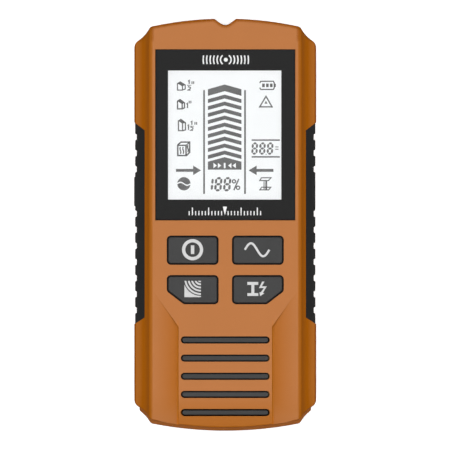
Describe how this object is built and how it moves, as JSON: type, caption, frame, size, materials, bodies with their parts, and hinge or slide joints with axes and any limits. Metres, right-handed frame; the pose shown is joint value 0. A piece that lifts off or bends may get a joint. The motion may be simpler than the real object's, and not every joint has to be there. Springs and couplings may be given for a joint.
{
  "type": "stud finder",
  "caption": "Hand-held wall scanner with a backlit display, press keys, ribbed side grips, a marking notch and a sliding battery door, lying on its back.",
  "frame": {"origin": "on the rest surface (bottom of the felt pads), under the middle of the body", "axes": "+Z out of the front face, +Y along the body toward the marking notch, +X to the right seen from the front"},
  "size_m": [0.0685, 0.155, 0.028],
  "materials": {
    "housing_orange": "satin moulded ABS",
    "rear_orange": "fine-textured ABS",
    "grip_rubber": "soft overmoulded rubber",
    "bar_rubber": "satin silicone",
    "key_plastic": "satin",
    "stem_plastic": "natural acetal",
    "lens_clear": "polished acrylic",
    "mask_black": "printed black",
    "lcd_film": "polariser film",
    "lcd_glass": "clear",
    "light_guide": "white light guide",
    "bracket_plastic": "white",
    "elastomer": "silicone",
    "board_green": "solder resist",
    "chip_black": "epoxy",
    "steel": "zinc plated",
    "copper": "enamelled copper",
    "battery_jacket": "lacquered",
    "lead_red": "PVC insulation",
    "lead_black": "PVC insulation",
    "foam": "closed-cell foam",
    "legend_white": "printed",
    "lcd_ink": "display segment",
    "felt": "felt"
  },
  "bodies": {
    "housing": {"front_shell": "housing_orange", "rear_shell": "rear_orange", "grip_left": "grip_rubber", "grip_right": "grip_rubber", "grip_bars": "bar_rubber", "display_lens": "lens_clear", "lens_mask": "mask_black", "lcd_polariser": "lcd_film", "lcd_front_glass": "lcd_glass", "lcd_rear_glass": "lcd_glass", "lcd_backlight": "light_guide", "lcd_bracket": "bracket_plastic", "coil_bobbin": "bracket_plastic", "elastomer_strip": "elastomer", "main_board": "board_green", "sensor_board": "board_green", "controller_chip": "chip_black", "amplifier_chips": "chip_black", "capacitors": "chip_black", "buzzer": "chip_black", "key_switches": "chip_black", "side_switch": "chip_black", "link_header": "chip_black", "battery_connector": "chip_black", "battery_snap": "chip_black", "crystal": "steel", "link_pins": "steel", "battery_terminals": "steel", "case_screws": "steel", "board_screws": "steel", "sensor_plates": "copper", "coil_winding": "copper", "battery": "battery_jacket", "lead_red": "lead_red", "lead_black": "lead_black", "battery_foam": "foam", "glide_pads": "felt"},
    "key_power": {"key_power": "key_plastic", "stem_power": "stem_plastic"},
    "key_ac": {"key_ac": "key_plastic", "stem_ac": "stem_plastic"},
    "key_scan": {"key_scan": "key_plastic", "stem_scan": "stem_plastic"},
    "key_metal": {"key_metal": "key_plastic", "stem_metal": "stem_plastic"},
    "side_button": {"side_button": "grip_rubber", "side_stem": "stem_plastic"},
    "battery_door": {"battery_door": "rear_orange"}
  },
  "joints": [
    {"name": "key_power_press", "type": "slide", "parent": "housing", "child": "key_power", "axis": [0, 0, -1], "range_m": [0, 0.0005], "stiffness_N_per_m": 3000, "springref_m": -0.0003},
    {"name": "key_ac_press", "type": "slide", "parent": "housing", "child": "key_ac", "axis": [0, 0, -1], "range_m": [0, 0.0005], "stiffness_N_per_m": 3000, "springref_m": -0.0003},
    {"name": "key_scan_press", "type": "slide", "parent": "housing", "child": "key_scan", "axis": [0, 0, -1], "range_m": [0, 0.0005], "stiffness_N_per_m": 3000, "springref_m": -0.0003},
    {"name": "key_metal_press", "type": "slide", "parent": "housing", "child": "key_metal", "axis": [0, 0, -1], "range_m": [0, 0.0005], "stiffness_N_per_m": 3000, "springref_m": -0.0003},
    {"name": "side_button_press", "type": "slide", "parent": "housing", "child": "side_button", "axis": [1, 0, 0], "range_m": [0, 0.0006], "stiffness_N_per_m": 3000, "springref_m": -0.0003},
    {"name": "battery_door_slide", "type": "slide", "parent": "housing", "child": "battery_door", "axis": [0, -1, 0], "range_m": [0, 0.036]}
  ]
}
